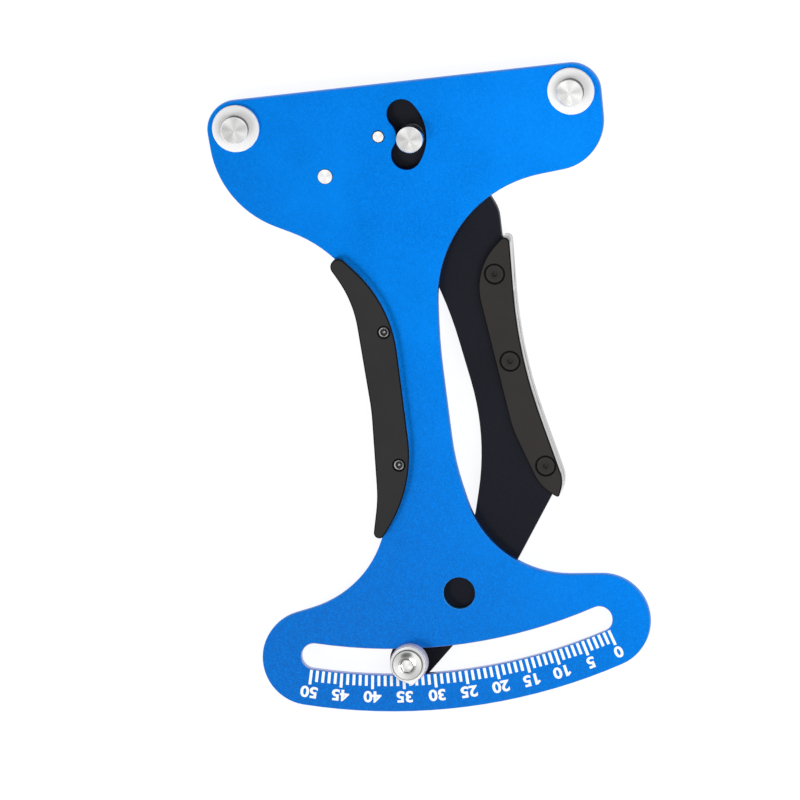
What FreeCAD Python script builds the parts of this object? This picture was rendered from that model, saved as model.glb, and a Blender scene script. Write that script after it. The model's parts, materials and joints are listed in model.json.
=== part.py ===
"""Spoke tension meter: a front plate with two fixed posts and a scale, and a sprung lever with a third post.

The tool lies on its back with its face up (+Z), X along the line of the fixed posts and +Y towards them.
Flat pieces are drawn about the point midway between the fixed posts, seen from the face. Every piece is
moved at the end, so that the origin is on the bench under the middle of the whole tool. Sizes are
millimetres.
"""
import math
import os

import FreeCAD
import Part

# ---- driving dimensions ------------------------------------------------------------------------------

POST_SPAN = 117.8            # between the two fixed posts
PIVOT = (-10.1, -8.5)        # hinge of the lever
POST_ARM = 11.5              # pivot to middle post
POST_ANGLE = -7.5            # middle post, from +X
POINTER_ARM = 184.2          # pivot to pointer bolt, and mean radius of the scale slot
POINTER_ANGLE = -4.4         # pointer bolt, from straight down towards +X
SLOT_ENDS = (-14.8, 16.85)   # slot end centres, same measure: full scale and zero
SLOT_HALF = 4.5
KIDNEY_ENDS = (-40.0, 36.8)  # clearance slot of the middle post, from +X
KIDNEY_HALF = 5.15
HOOK_HOLE = (-4.0, -170.3)   # hole to hang the tool by
HOOK_HOLE_R = 5.5

BENCH_Z = 0.0
SHELL_T = 3.3                # grip shells
LEVER_T = 3.0
PLATE_T = 3.0
PLATE_GAP = 0.5              # between lever and front plate
LEVER_Z = BENCH_Z + SHELL_T
LEVER_TOP = LEVER_Z + LEVER_T
PLATE_Z = LEVER_TOP + PLATE_GAP
PLATE_TOP = PLATE_Z + PLATE_T

TOP_EDGE_Y = 9.5             # straight top edge of the front plate
TOP_CORNER_R = 10.1
FOOT_R = 201.6               # bottom edge of the front plate, about the pivot
LEFT_LOBE = (-15.25, 16.45)  # angle from straight down, radius
RIGHT_LOBE = (17.1, 16.4)

FLANGE_R = 8.15              # disc under each fixed post
FLANGE_T = 1.6
POST_R = 4.7
POST_H = 3.7                 # above its flange
MIDDLE_POST_R = 4.6
MIDDLE_NECK_R = 4.2          # where it passes through the front plate
NECK_PROUD = 0.2             # neck above the face
POST_CHAMFER = 0.4
POST_SHANK_R = 3.0
POST_TOP = PLATE_TOP + FLANGE_T + POST_H
POST_SCREW_R = 2.0           # M4 from behind
POST_SCREW_HEAD_R = 3.6
POST_SCREW_HEAD_H = 2.4
POST_SCREW_ROUNDING = 0.8
FIXED_THREAD_TOP = POST_TOP - 1.6
MIDDLE_THREAD_TOP = LEVER_TOP + 4.0
THREAD_SPARE = 0.6           # thread beyond the screw's tip

PIN_R = 3.0                  # pivot pin in the bush
PIN_RIVET_R = 2.05           # its end in the front plate
RIVET_PROUD = 0.3
ANCHOR_RIVET_R = 2.65        # spread end of the spring's anchor, on the face
BUSH_R = 4.5
RUNNING = 0.05               # radial clearance of the pin in the bush
CLEAR = 0.15                 # radial clearance of a screw in its hole

SPRING_ANCHOR = (-30.4, -20.3)
SPRING_EAR = (-22.5, 3.4)
SPRING_Z = 2.8
SPRING_WIRE = 0.9
SPRING_COIL_R = 2.2          # mean radius
EAR_GAP = 5.2                # ear pin to the first coil
ANCHOR_GAP = 3.4
WEB_T = 0.72                 # flat web from each end loop to the coil
WEB_OVERLAP = 0.2
HOOK_R = 2.0                 # mean radius of the end loops
HOOK_PIN_R = 1.5
HOOK_NECK = 0.7              # half the width of the neck that the loop lies on
HOOK_HEAD_R = 2.4
HOOK_HEAD_T = 1.4

LEFT_GRIP_SCREWS = ((-17.1, -76.2), (-18.2, -122.9))
RIGHT_GRIP_SCREWS = ((23.5, -60.8), (24.7, -91.7), (32.0, -129.5))

SLEEVE_R = 4.3               # runs in the scale slot
SLEEVE_LIFT = 0.3            # holds the washer clear of the front plate
WASHER_R = 6.5
WASHER_T = 3.7
POINTER_R = 6.25
POINTER_T = 1.6
POINTER_TIP = 7.4            # from the bolt's centre
POINTER_TIP_R = 0.3
POINTER_TWIST = 9.0          # tip away from the radial line
BOLT_R = 3.0                 # M6 button head screw
BOLT_HEAD_R = 5.25
BOLT_HEAD_H = 3.3
BOLT_SOCKET = 4.0            # across flats
BOLT_SOCKET_FLOOR = 1.2      # above the head's seat
BOLT_TIP_Z = 0.5
POINTER_NUT = 10.0           # across flats
POINTER_NUT_Z = 0.4


# ---- geometry helpers --------------------------------------------------------------------------------

SHORTEST_RUN = 0.02          # a shorter straight between two arcs is left out


def vec(x, y, z=0.0):
    return FreeCAD.Vector(x, y, z)


def about(centre, radius, degrees):
    """Point at a radius and an angle from +X."""
    angle = math.radians(degrees)
    return (centre[0] + radius * math.cos(angle), centre[1] + radius * math.sin(angle))


def below_pivot(radius, degrees):
    """Point below the pivot, its angle measured from straight down towards +X."""
    return about(PIVOT, radius, degrees - 90.0)


def arc_edge(centre, radius, start, sweep):
    """Arc of a circle from an angle in radians through a signed sweep."""
    corners = []
    for part in (0.0, 0.5, 1.0):
        angle = start + sweep * part
        corners.append(vec(centre[0] + radius * math.cos(angle), centre[1] + radius * math.sin(angle)))
    return Part.Arc(*corners).toShape()


def belt(discs):
    """Face inside a belt led counterclockwise over discs (x, y, radius); a negative radius bends inwards."""
    runs = []
    for here, there in zip(discs, discs[1:] + discs[:1]):
        dx = there[0] - here[0]
        dy = there[1] - here[1]
        lean = (there[2] - here[2]) / math.hypot(dx, dy)
        along = math.atan2(dy, dx) - math.asin(lean)
        leaves, meets = [(x + r * math.sin(along), y - r * math.cos(along)) for x, y, r in (here, there)]
        runs.append((leaves, meets if math.dist(leaves, meets) > SHORTEST_RUN else leaves))
    edges = []
    for i, (x, y, r) in enumerate(discs):
        start, end = [math.atan2(point[1] - y, point[0] - x) for point in (runs[i - 1][1], runs[i][0])]
        turn = math.copysign(1.0, r)
        middle = start + turn * ((end - start) * turn % (2 * math.pi)) / 2
        crown = (x + abs(r) * math.cos(middle), y + abs(r) * math.sin(middle))
        edges.append(Part.Arc(vec(*runs[i - 1][1]), vec(*crown), vec(*runs[i][0])).toShape())
        if runs[i][0] != runs[i][1]:
            edges.append(Part.makeLine(vec(*runs[i][0]), vec(*runs[i][1])))
    return Part.Face(Part.Wire(edges))


def arc_slot(centre, radius, half, ends):
    """Face of a slot along an arc, with round ends; the angles are from +X."""
    start = math.radians(ends[0])
    sweep = math.radians(ends[1] - ends[0])
    low = about(centre, radius, ends[0])
    high = about(centre, radius, ends[1])
    edges = [
        arc_edge(centre, radius + half, start, sweep),
        arc_edge(high, half, start + sweep, math.pi),
        arc_edge(centre, radius - half, start + sweep, -sweep),
        arc_edge(low, half, start + math.pi, math.pi),
    ]
    return Part.Face(Part.Wire(edges))


def slab(face, z0, z1):
    """Plate of a flat outline between two heights."""
    plate = face.extrude(vec(0, 0, z1 - z0))
    plate.translate(vec(0, 0, z0))
    return plate


def rod(centre, radius, z0, z1):
    return Part.makeCylinder(radius, z1 - z0, vec(centre[0], centre[1], z0))


def ring(centre, outer, inner, z0, z1):
    return rod(centre, outer, z0, z1).cut(rod(centre, inner, z0, z1))


def hexagon(centre, across_flats, z0, z1):
    corners = [vec(*about(centre, across_flats / math.sqrt(3.0), 60.0 * k)) for k in range(7)]
    return slab(Part.Face(Part.makePolygon(corners)), z0, z1)


def chamfered_rod(centre, radius, z0, z1, chamfer):
    """Rod with a chamfer round its top."""
    cone = Part.makeCone(radius, radius - chamfer, chamfer, vec(centre[0], centre[1], z1 - chamfer))
    return rod(centre, radius, z0, z1 - chamfer).fuse(cone).removeSplitter()


def drilled(solid, *holes):
    """Solid with holes (centre, radius, z0, z1) cut out."""
    for centre, radius, z0, z1 in holes:
        solid = solid.cut(rod(centre, radius, z0, z1))
    return solid


# ---- places ------------------------------------------------------------------------------------------

LEFT_POST_AT = (-POST_SPAN / 2, 0.0)
RIGHT_POST_AT = (POST_SPAN / 2, 0.0)
MIDDLE_POST_AT = about(PIVOT, POST_ARM, POST_ANGLE)
BOLT_AT = below_pivot(POINTER_ARM, POINTER_ANGLE)
LEFT_LOBE_AT = below_pivot(FOOT_R - LEFT_LOBE[1], LEFT_LOBE[0])
RIGHT_LOBE_AT = below_pivot(FOOT_R - RIGHT_LOBE[1], RIGHT_LOBE[0])
TOP_CORNER_Y = TOP_EDGE_Y - TOP_CORNER_R
ORIGIN_X = (LEFT_LOBE_AT[0] - LEFT_LOBE[1] + POST_SPAN / 2 + TOP_CORNER_R) / 2
ORIGIN_Y = (PIVOT[1] - FOOT_R + TOP_EDGE_Y) / 2

# Outlines as belts over discs. A negative radius bends the outline inwards.
PLATE_OUTLINE = [
    (POST_SPAN / 2, TOP_CORNER_Y, TOP_CORNER_R),
    (-POST_SPAN / 2, TOP_CORNER_Y, TOP_CORNER_R),
    (-34.3, -5.1, 34.5),     # left shoulder
    (-64.8, -77.9, -44.2),   # left side of the waist, under the grip
    (-62.7, -132.5, -38.0),
    (*LEFT_LOBE_AT, LEFT_LOBE[1]),
    (*PIVOT, FOOT_R),
    (*RIGHT_LOBE_AT, RIGHT_LOBE[1]),
    (39.1, -131.8, -36.5),   # right side of the waist
    (90.3, -116.7, -89.6),
    (183.1, -93.6, -182.2),
    (48.2, -73.6, -46.0),
    (51.0, -9.5, 17.6),      # right shoulder
]
LEVER_OUTLINE = [
    (-1.0, -8.0, 13.5),      # head behind the middle post
    (*SPRING_EAR, 3.4),
    (-28.5, -10.0, -11.2),   # hollow beside the spring
    (-120.4, -102.1, -129.3),
    (-78.9, -110.9, -89.6),
    (-33.4, -130.6, -40.4),
    (*BOLT_AT, 7.5),
    (-35.5, -131.2, 60.5),   # lower edge towards the pointer
    (27.1, -133.2, 8.3),
    (192.0, -75.0, -165.2),  # under the right grip
    (15.5, -41.6, 11.9),
]
LEFT_GRIP_OUTLINE = [
    (-29.7, -51.8, 2.8),
    (-65.4, -74.6, -39.4),
    (-104.2, -101.4, -79.0),
    (-76.6, -126.0, -49.8),
    (-28.3, -145.8, 1.9),
    (-62.5, -113.6, 48.7),
    (-58.9, -83.2, 45.4),
]
RIGHT_GRIP_OUTLINE = [
    (28.3, -50.4, 1.9),
    (39.4, -67.8, 22.3),
    (110.1, -66.0, 92.8),
    (60.7, -107.0, 39.3),
    (42.2, -127.1, 15.6),
    (34.6, -139.9, 0.8),     # tip
    (26.7, -134.3, 10.3),
    (197.6, -77.4, -168.7),
]


# ---- front plate and fixed posts ---------------------------------------------------------------------

def front_plate():
    scale_slot = arc_slot(PIVOT, POINTER_ARM, SLOT_HALF, [angle - 90.0 for angle in SLOT_ENDS])
    kidney = arc_slot(PIVOT, POST_ARM, KIDNEY_HALF, KIDNEY_ENDS)
    plate = slab(belt(PLATE_OUTLINE), PLATE_Z, PLATE_TOP)
    for cutout in (scale_slot, kidney):
        plate = plate.cut(slab(cutout, PLATE_Z, PLATE_TOP))
    holes = [(LEFT_POST_AT, POST_SHANK_R), (RIGHT_POST_AT, POST_SHANK_R), (PIVOT, PIN_RIVET_R)]
    holes += [(SPRING_ANCHOR, PIN_RIVET_R), (HOOK_HOLE, HOOK_HOLE_R)]
    holes += [(place, LEFT_SCREW["shank"] + CLEAR) for place in LEFT_GRIP_SCREWS]
    return drilled(plate, *[(centre, radius, PLATE_Z, PLATE_TOP) for centre, radius in holes])


def post_flange(place):
    return ring(place, FLANGE_R, POST_SHANK_R, PLATE_TOP, PLATE_TOP + FLANGE_T)


def threaded_post(place, radius, stub_z, shank_z, thread_top):
    """Post whose thinner shank passes down through what carries it, tapped from below."""
    stub = chamfered_rod(place, radius, stub_z, POST_TOP, POST_CHAMFER)
    shank = rod(place, POST_SHANK_R, shank_z, stub_z)
    return drilled(stub.fuse(shank), (place, POST_SCREW_R, shank_z, thread_top))


def post_screw(place, seat_z, thread_top):
    """Pan head screw driven upwards."""
    head = rod(place, POST_SCREW_HEAD_R, seat_z - POST_SCREW_HEAD_H, seat_z)
    lower_rim = head.Edges[2]
    head = head.makeFillet(POST_SCREW_ROUNDING, [lower_rim])
    return head.fuse(rod(place, POST_SCREW_R, seat_z, thread_top - THREAD_SPARE))


def fixed_post(place):
    return threaded_post(place, POST_R, PLATE_TOP + FLANGE_T, PLATE_Z, FIXED_THREAD_TOP)


def fixed_post_screws():
    return [post_screw(place, PLATE_Z, FIXED_THREAD_TOP) for place in (LEFT_POST_AT, RIGHT_POST_AT)]


def middle_post():
    """Post on the lever, thinner where it passes through its slot in the front plate."""
    neck_top = PLATE_TOP + NECK_PROUD
    post = threaded_post(MIDDLE_POST_AT, MIDDLE_POST_R, LEVER_TOP, LEVER_Z, MIDDLE_THREAD_TOP)
    return post.cut(ring(MIDDLE_POST_AT, MIDDLE_POST_R, MIDDLE_NECK_R, LEVER_TOP, neck_top))


def middle_post_screw():
    return post_screw(MIDDLE_POST_AT, LEVER_Z, MIDDLE_THREAD_TOP)


# ---- pivot -------------------------------------------------------------------------------------------

SPACER_R = 5.8
REAR_WASHER_R = 6.0
REAR_WASHER_T = 0.6
CLIP_R = 4.8
CLIP_T = 0.8
CLIP_MOUTH = 3.4
CLIP_GROOVE_R = 2.35
CLIP_Z = LEVER_Z - REAR_WASHER_T - CLIP_T
PIN_END_Z = CLIP_Z - 0.9


def pivot_pin():
    """Shoulder pin riveted into the front plate, with a groove for the clip behind the lever."""
    pin = rod(PIVOT, PIN_R, PIN_END_Z, PLATE_Z)
    pin = pin.fuse(rod(PIVOT, PIN_RIVET_R, PLATE_Z, PLATE_TOP + RIVET_PROUD))
    return pin.cut(ring(PIVOT, PIN_R, CLIP_GROOVE_R, CLIP_Z, CLIP_Z + CLIP_T))


def pivot_bush():
    return ring(PIVOT, BUSH_R, PIN_R + RUNNING, LEVER_Z, LEVER_TOP)


def pivot_spacer():
    return ring(PIVOT, SPACER_R, PIN_R + RUNNING, LEVER_TOP, PLATE_Z)


def pivot_rear_washer():
    return ring(PIVOT, REAR_WASHER_R, PIN_R + RUNNING, CLIP_Z + CLIP_T, LEVER_Z)


def pivot_clip():
    """Open retaining clip pushed into the pin's groove from the side."""
    clip = ring(PIVOT, CLIP_R, CLIP_GROOVE_R, CLIP_Z, CLIP_Z + CLIP_T)
    corner = vec(PIVOT[0] - CLIP_MOUTH / 2, PIVOT[1] - CLIP_R, CLIP_Z)
    return clip.cut(Part.makeBox(CLIP_MOUTH, CLIP_R, CLIP_T, corner))


# ---- return spring -----------------------------------------------------------------------------------

def hook_pin(place, seat_z, through_z, rivet_r):
    """Grooved pin behind a plate: rivet end, neck for the spring's loop, and head."""
    head_z = SPRING_Z - HOOK_NECK
    head = rod(place, HOOK_HEAD_R, head_z - HOOK_HEAD_T, head_z)
    return head.fuse([rod(place, HOOK_PIN_R, head_z, seat_z), rod(place, rivet_r, seat_z, through_z)])


def spring_anchor_pin():
    collar_z = SPRING_Z + HOOK_NECK
    pin = hook_pin(SPRING_ANCHOR, PLATE_Z, PLATE_TOP, PIN_RIVET_R)
    collar = rod(SPRING_ANCHOR, HOOK_HEAD_R, collar_z, PLATE_Z)
    return pin.fuse([collar, rod(SPRING_ANCHOR, ANCHOR_RIVET_R, PLATE_TOP, PLATE_TOP + RIVET_PROUD)])


def lever_spring_pin():
    return hook_pin(SPRING_EAR, LEVER_Z, LEVER_TOP, PIN_RIVET_R - CLEAR)


def return_spring():
    """Extension spring as a plain tube with its two end loops."""
    ear = vec(*SPRING_EAR, SPRING_Z)
    anchor = vec(*SPRING_ANCHOR, SPRING_Z)
    along = (anchor - ear).normalize()
    first = ear + along * EAR_GAP
    length = (anchor - ear).Length - EAR_GAP - ANCHOR_GAP
    wire_r = SPRING_WIRE / 2
    body = Part.makeCylinder(SPRING_COIL_R + wire_r, length, first, along)
    body = body.cut(Part.makeCylinder(SPRING_COIL_R - wire_r, length, first, along))
    loops = []
    for pin, away in ((ear, along), (anchor, -along)):
        loops.append(Part.makeTorus(HOOK_R, wire_r, pin))
        gap = EAR_GAP if pin == ear else ANCHOR_GAP
        web = Part.makeBox(gap - HOOK_R + SPRING_WIRE, SPRING_COIL_R * 2, WEB_T)
        web.translate(vec(HOOK_R - WEB_OVERLAP, -SPRING_COIL_R, -WEB_T / 2))
        web.rotate(vec(0, 0, 0), vec(0, 0, 1), math.degrees(math.atan2(away.y, away.x)))
        web.translate(pin)
        loops.append(web)
    return body.fuse(loops)


# ---- lever -------------------------------------------------------------------------------------------

def lever_plate():
    plate = slab(belt(LEVER_OUTLINE), LEVER_Z, LEVER_TOP)
    holes = [(PIVOT, BUSH_R), (MIDDLE_POST_AT, POST_SHANK_R), (SPRING_EAR, PIN_RIVET_R - CLEAR)]
    holes += [(BOLT_AT, BOLT_R + CLEAR)]
    holes += [(place, RIGHT_SCREW["shank"] + CLEAR) for place in RIGHT_GRIP_SCREWS]
    return drilled(plate, *[(centre, radius, LEVER_Z, LEVER_TOP) for centre, radius in holes])


# ---- grips -------------------------------------------------------------------------------------------

# Grip screws: shank radius, head radius and height, socket and nut across flats, nut height.
LEFT_SCREW = {"shank": 1.25, "head": 1.75, "head_h": 1.3, "socket": 1.5, "nut": 5.0, "nut_h": 2.0}
RIGHT_SCREW = {"shank": 1.5, "head": 3.1, "head_h": 1.4, "socket": 2.0, "nut": 5.5, "nut_h": 2.0}
HEAD_SINK = 0.3              # head below the grip's face
HEAD_CLEAR = 0.2             # counterbore around the head
SOCKET_FLOOR = 0.5           # above the head's seat
NUT_SINK = 0.6               # nut above the back of the grip
NUT_CLEAR = 0.3              # pocket wider than the nut, across flats
LIP_CLEAR = 0.1              # between a shell's lip and the edge of the plate that it clasps
LEFT_FACE = PLATE_TOP + SHELL_T
RIGHT_FACE = LEVER_TOP + SHELL_T


def half_grip(outline, plate_outline, z0, z1, seam_z):
    """Slab on one side of a plate, with a lip past the plate's edge as far as the seam of the two halves."""
    lip_z = (min(z0, seam_z), max(z0, seam_z))
    lip = slab(belt(outline), *lip_z).cut(slab(belt(plate_outline).makeOffset2D(LIP_CLEAR), *lip_z))
    return slab(belt(outline), min(z0, z1), max(z0, z1)).fuse(lip).removeSplitter()


def front_shell(outline, plate_outline, plate_top, plate_t, places, screw):
    """Half in front, with its screws' counterbores."""
    face = plate_top + SHELL_T
    shell = half_grip(outline, plate_outline, plate_top, face, plate_top - plate_t / 2)
    seat = face - HEAD_SINK - screw["head_h"]
    for place in places:
        shell = drilled(shell, (place, screw["shank"] + CLEAR, plate_top, seat))
        shell = drilled(shell, (place, screw["head"] + HEAD_CLEAR, seat, face))
    return shell


def rear_shell(outline, plate_outline, plate_top, plate_t, places, screw):
    """Half behind, with a pocket for each nut."""
    z1 = plate_top - plate_t
    shell = half_grip(outline, plate_outline, z1, BENCH_Z, plate_top - plate_t / 2)
    for place in places:
        pocket = hexagon(place, screw["nut"] + NUT_CLEAR, BENCH_Z, BENCH_Z + NUT_SINK + screw["nut_h"])
        shell = drilled(shell.cut(pocket), (place, screw["shank"] + CLEAR, BENCH_Z, z1))
    return shell


def grip_screws(places, screw, face_z):
    """Socket screws from the face."""
    screws = []
    for place in places:
        seat = face_z - HEAD_SINK - screw["head_h"]
        head = rod(place, screw["head"], seat, seat + screw["head_h"])
        head = head.cut(hexagon(place, screw["socket"], seat + SOCKET_FLOOR, seat + screw["head_h"]))
        screws.append(head.fuse(rod(place, screw["shank"], BENCH_Z + NUT_SINK, seat)))
    return screws


def grip_nuts(places, screw):
    nuts = []
    for place in places:
        top = BENCH_Z + NUT_SINK + screw["nut_h"]
        nut = hexagon(place, screw["nut"], BENCH_Z + NUT_SINK, top)
        nuts.append(drilled(nut, (place, screw["shank"], BENCH_Z + NUT_SINK, top)))
    return nuts


# ---- pointer -----------------------------------------------------------------------------------------

WASHER_Z = PLATE_TOP + SLEEVE_LIFT
POINTER_Z = WASHER_Z + WASHER_T
BOLT_SEAT = POINTER_Z + POINTER_T
BOLT_HOLE_R = BOLT_R + 0.1


def guide_sleeve():
    return ring(BOLT_AT, SLEEVE_R, BOLT_HOLE_R, LEVER_TOP, WASHER_Z)


def pointer_washer():
    return ring(BOLT_AT, WASHER_R, BOLT_HOLE_R, WASHER_Z, POINTER_Z)


def pointer_disc():
    """Disc with a short tip towards the scale."""
    tip_at = about(BOLT_AT, POINTER_TIP - POINTER_TIP_R, POINTER_ANGLE + POINTER_TWIST - 90.0)
    face = belt([(*BOLT_AT, POINTER_R), (*tip_at, POINTER_TIP_R)])
    return drilled(slab(face, POINTER_Z, BOLT_SEAT), (BOLT_AT, BOLT_HOLE_R, POINTER_Z, BOLT_SEAT))


def pointer_screw():
    """Button head socket screw: its head is a turned profile of (radius, height) above the seat."""
    rim = (BOLT_HEAD_R, 0.6)
    shoulder = (4.5, 2.3)
    flat = (BOLT_HEAD_R / 2, BOLT_HEAD_H)
    dome = Part.Arc(*[vec(r, 0, z) for r, z in (rim, shoulder, flat)]).toShape()
    under = Part.makePolygon([vec(0, 0, 0), vec(BOLT_HEAD_R, 0, 0), vec(rim[0], 0, rim[1])])
    top = Part.makePolygon([vec(flat[0], 0, flat[1]), vec(0, 0, BOLT_HEAD_H), vec(0, 0, 0)])
    head = Part.Face(Part.Wire(under.Edges + [dome] + top.Edges)).revolve(vec(0, 0, 0), vec(0, 0, 1), 360)
    head.translate(vec(*BOLT_AT, BOLT_SEAT))
    head = head.cut(hexagon(BOLT_AT, BOLT_SOCKET, BOLT_SEAT + BOLT_SOCKET_FLOOR, BOLT_SEAT + BOLT_HEAD_H))
    return head.fuse(rod(BOLT_AT, BOLT_R, BOLT_TIP_Z, BOLT_SEAT))


def pointer_nut():
    nut = hexagon(BOLT_AT, POINTER_NUT, POINTER_NUT_Z, LEVER_Z)
    return drilled(nut, (BOLT_AT, BOLT_R, POINTER_NUT_Z, LEVER_Z))


# ---- all pieces --------------------------------------------------------------------------------------

def all_nodes():
    """Every piece by its name; a list is a set of identical fasteners."""
    left = (LEFT_GRIP_SCREWS, LEFT_SCREW)
    right = (RIGHT_GRIP_SCREWS, RIGHT_SCREW)
    left_grip = (LEFT_GRIP_OUTLINE, PLATE_OUTLINE, PLATE_TOP, PLATE_T, *left)
    right_grip = (RIGHT_GRIP_OUTLINE, LEVER_OUTLINE, LEVER_TOP, LEVER_T, *right)
    return {
        "front_plate": front_plate(),
        "left_post_flange": post_flange(LEFT_POST_AT),
        "right_post_flange": post_flange(RIGHT_POST_AT),
        "left_post": fixed_post(LEFT_POST_AT),
        "right_post": fixed_post(RIGHT_POST_AT),
        "fixed_post_screws": fixed_post_screws(),
        "pivot_pin": pivot_pin(),
        "pivot_spacer": pivot_spacer(),
        "pivot_rear_washer": pivot_rear_washer(),
        "pivot_clip": pivot_clip(),
        "spring_anchor_pin": spring_anchor_pin(),
        "return_spring": return_spring(),
        "left_grip_front": front_shell(*left_grip),
        "left_grip_rear": rear_shell(*left_grip),
        "left_grip_screws": grip_screws(*left, LEFT_FACE),
        "left_grip_nuts": grip_nuts(*left),
        "lever_plate": lever_plate(),
        "pivot_bush": pivot_bush(),
        "middle_post": middle_post(),
        "middle_post_screw": middle_post_screw(),
        "lever_spring_pin": lever_spring_pin(),
        "right_grip_front": front_shell(*right_grip),
        "right_grip_rear": rear_shell(*right_grip),
        "right_grip_screws": grip_screws(*right, RIGHT_FACE),
        "right_grip_nuts": grip_nuts(*right),
        "guide_sleeve": guide_sleeve(),
        "pointer_washer": pointer_washer(),
        "pointer_disc": pointer_disc(),
        "pointer_screw": pointer_screw(),
        "pointer_nut": pointer_nut(),
    }


def main():
    os.makedirs("parts", exist_ok=True)
    whole = FreeCAD.BoundBox()
    for name, pieces in all_nodes().items():
        shape = Part.makeCompound(pieces) if isinstance(pieces, list) else pieces
        shape.translate(vec(-ORIGIN_X, -ORIGIN_Y))
        shape.exportStep(f"parts/{name}.step")
        whole.add(shape.BoundBox)
        print(f"{name:20s} valid {shape.isValid()} solids {len(shape.Solids)} volume {shape.Volume:9.1f}")
    print("whole", whole)
    print("origin", round(ORIGIN_X, 4), round(ORIGIN_Y, 4))


main()
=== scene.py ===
"""Looks of the spoke tension meter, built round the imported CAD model.

Heights and radii in the profiles are millimetres. Every finished piece keeps its place in its mesh.
"""
import json
import math

import bpy
from mathutils import Matrix, Vector

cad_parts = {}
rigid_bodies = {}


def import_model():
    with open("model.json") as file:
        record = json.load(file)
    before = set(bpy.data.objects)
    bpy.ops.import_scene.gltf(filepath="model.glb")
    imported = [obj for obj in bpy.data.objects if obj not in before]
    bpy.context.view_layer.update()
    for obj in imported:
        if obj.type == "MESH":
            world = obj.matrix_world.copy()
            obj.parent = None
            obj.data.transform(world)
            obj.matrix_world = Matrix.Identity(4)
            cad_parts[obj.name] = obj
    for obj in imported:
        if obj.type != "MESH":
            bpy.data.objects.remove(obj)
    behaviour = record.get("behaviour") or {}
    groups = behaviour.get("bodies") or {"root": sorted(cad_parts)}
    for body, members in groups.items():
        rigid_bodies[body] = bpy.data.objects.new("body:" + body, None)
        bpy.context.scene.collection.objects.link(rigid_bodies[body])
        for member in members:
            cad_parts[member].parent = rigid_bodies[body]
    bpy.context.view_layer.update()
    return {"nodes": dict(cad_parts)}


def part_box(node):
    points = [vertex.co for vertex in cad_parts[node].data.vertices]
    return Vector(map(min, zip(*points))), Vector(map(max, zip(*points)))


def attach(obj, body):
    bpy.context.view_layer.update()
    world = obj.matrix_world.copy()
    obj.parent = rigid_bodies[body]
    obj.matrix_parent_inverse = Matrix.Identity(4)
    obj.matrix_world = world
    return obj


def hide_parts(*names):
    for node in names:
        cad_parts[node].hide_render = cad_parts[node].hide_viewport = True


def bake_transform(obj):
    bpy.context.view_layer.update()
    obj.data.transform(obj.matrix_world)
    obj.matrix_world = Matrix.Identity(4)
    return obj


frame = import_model()

MM = 0.001
FULL_TURN = 2 * math.pi
WELD = MM / 500  # corners nearer than this are merged
FLAT = math.radians(0.5)  # faces that turn less than this are one flat face
CORNER = math.radians(30.0)  # faces that turn more than this meet at a corner
UPRIGHT = 0.5  # a face whose normal rises less than this is a wall
PAST = 1.0  # a cutter reaches this far beyond what it cuts
NUT_LAND = 0.97  # flat ring on a nut's face, as a share of its width
NUT_SINK = 0.18  # countersink, as a share of the thread's radius


# ---- places and heights, read from the CAD nodes ----

def middle(node):
    """Centre of a node seen from the face."""
    low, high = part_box(node)
    return Vector(((low.x + high.x) / 2, (low.y + high.y) / 2, 0.0))


def heights(node):
    """Lowest and highest level of a node, in millimetres."""
    low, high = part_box(node)
    return low.z / MM, high.z / MM


PIVOT = middle("pivot_bush")
LEFT_POST = middle("left_post")
RIGHT_POST = middle("right_post")
MIDDLE_POST = middle("middle_post")
ANCHOR = middle("spring_anchor_pin")
EAR = middle("lever_spring_pin")
BOLT = middle("pointer_screw")
PLATE_BACK, PLATE_FACE = heights("front_plate")
LEVER_BACK, LEVER_FACE = heights("lever_plate")
FLANGE_TOP = heights("left_post_flange")[1]
POST_TOP = heights("left_post")[1]
MIDWAY = (LEFT_POST + RIGHT_POST) / 2


def on_plate(x, y):
    """Place drawn from the point midway between the fixed posts."""
    return MIDWAY + Vector((x, y, 0.0)) * MM


LEFT_SCREWS = [on_plate(-17.1, -76.2), on_plate(-18.2, -122.9)]
RIGHT_SCREWS = [on_plate(23.5, -60.8), on_plate(24.7, -91.7), on_plate(32.0, -129.5)]


# ---- bench work ----

def pick(*pieces):
    """Selects these pieces alone; the first is the one worked on."""
    bpy.ops.object.select_all(action="DESELECT")
    for piece in pieces:
        piece.select_set(True)
    bpy.context.view_layer.objects.active = pieces[0]


def settle():
    """Puts the active piece's place into its mesh."""
    bpy.ops.object.transform_apply(location=True, rotation=True, scale=True)
    return bpy.context.object


def added(primitive, **settings):
    """New primitive at its size and place, selected alone."""
    bpy.ops.object.select_all(action="DESELECT")
    primitive(**settings)
    return settle()


def open_mesh(piece):
    """Edit mode, with the whole piece selected."""
    pick(piece)
    bpy.ops.object.mode_set(mode="EDIT")
    bpy.ops.mesh.select_all(action="SELECT")


def close_mesh():
    bpy.ops.object.mode_set(mode="OBJECT")


def close_solid():
    """Merges corners that lie together and turns all faces outwards."""
    bpy.ops.mesh.select_all(action="SELECT")
    bpy.ops.mesh.remove_doubles(threshold=WELD)
    bpy.ops.mesh.normals_make_consistent(inside=False)
    close_mesh()


def finish_with(piece, kind, **settings):
    """Adds a modifier and applies it."""
    pick(piece)
    modifier = piece.modifiers.new(kind.lower(), kind)
    for setting, value in settings.items():
        setattr(modifier, setting, value)
    bpy.ops.object.modifier_apply(modifier=modifier.name)


def break_edges(piece, width, segments=1, material=-1):
    """Chamfers or rounds the corners of a piece; the new faces may have their own finish."""
    finish_with(piece, "BEVEL", width=width * MM, segments=segments, material=material, limit_method="ANGLE",
                angle_limit=math.radians(32.0), use_clamp_overlap=False, harden_normals=segments > 1)


def smooth_by(piece, angle=30.0):
    pick(piece)
    bpy.ops.object.shade_smooth_by_angle(angle=math.radians(angle))


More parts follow.
